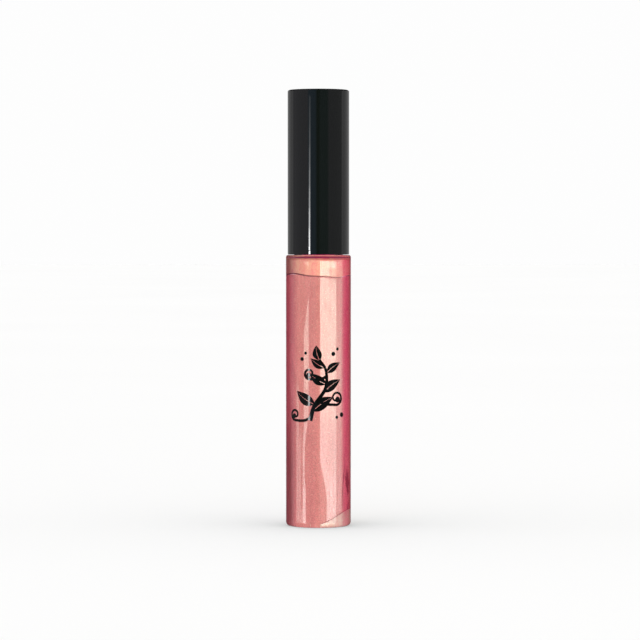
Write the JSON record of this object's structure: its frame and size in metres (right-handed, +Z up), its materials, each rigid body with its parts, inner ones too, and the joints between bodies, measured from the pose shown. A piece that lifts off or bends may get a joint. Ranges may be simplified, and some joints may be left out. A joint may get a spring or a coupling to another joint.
{
  "type": "lip gloss tube",
  "caption": "Slim round lip gloss tube: clear thick-walled bottle of pearly gloss, wiper in its threaded neck, and a tall screw cap that carries a doe-foot wand.",
  "frame": {"origin": "centre of the bottle's flat base, where it stands", "axes": "+Z up the tube's axis, from the bottle's base to the cap's top; -Y is the front, where the decoration is"},
  "size_m": [0.0164, 0.0164, 0.1105],
  "materials": {
    "clear_plastic": "clear, polished",
    "gloss_pearl": "pearly liquid",
    "wiper_natural": "natural, translucent",
    "seal_foam": "soft, matt",
    "wand_natural": "natural, satin",
    "applicator_soft": "soft, matt",
    "flock": "short nap, stained by the gloss",
    "inner_cap_natural": "natural, satin",
    "cap_black": "polished"
  },
  "bodies": {
    "bottle": {"bottle": "clear_plastic", "gloss": "gloss_pearl", "wiper": "wiper_natural"},
    "washer": {"seal_washer": "seal_foam"},
    "stem": {"stem": "wand_natural"},
    "cap": {"inner_cap": "inner_cap_natural", "cap_shell": "cap_black", "applicator_core": "applicator_soft", "flock_coat": "flock"}
  },
  "joints": [
    {"name": "cap_pull", "type": "slide", "parent": "bottle", "child": "washer", "axis": [0, 0, 1], "range_m": [0, 0.085]},
    {"name": "cap_rise", "type": "slide", "parent": "washer", "child": "stem", "axis": [0, 0, 1], "range_m": [0, 0.00375]},
    {"name": "cap_turn", "type": "hinge", "parent": "stem", "child": "cap", "pos_m": [0, 0, 0.0757], "axis": [0, 0, 1], "range_deg": [0, 450]}
  ],
  "couplings": [
    {"joint": "cap_rise", "follows": "cap_turn", "m_per_rad": 0.00047746}
  ]
}
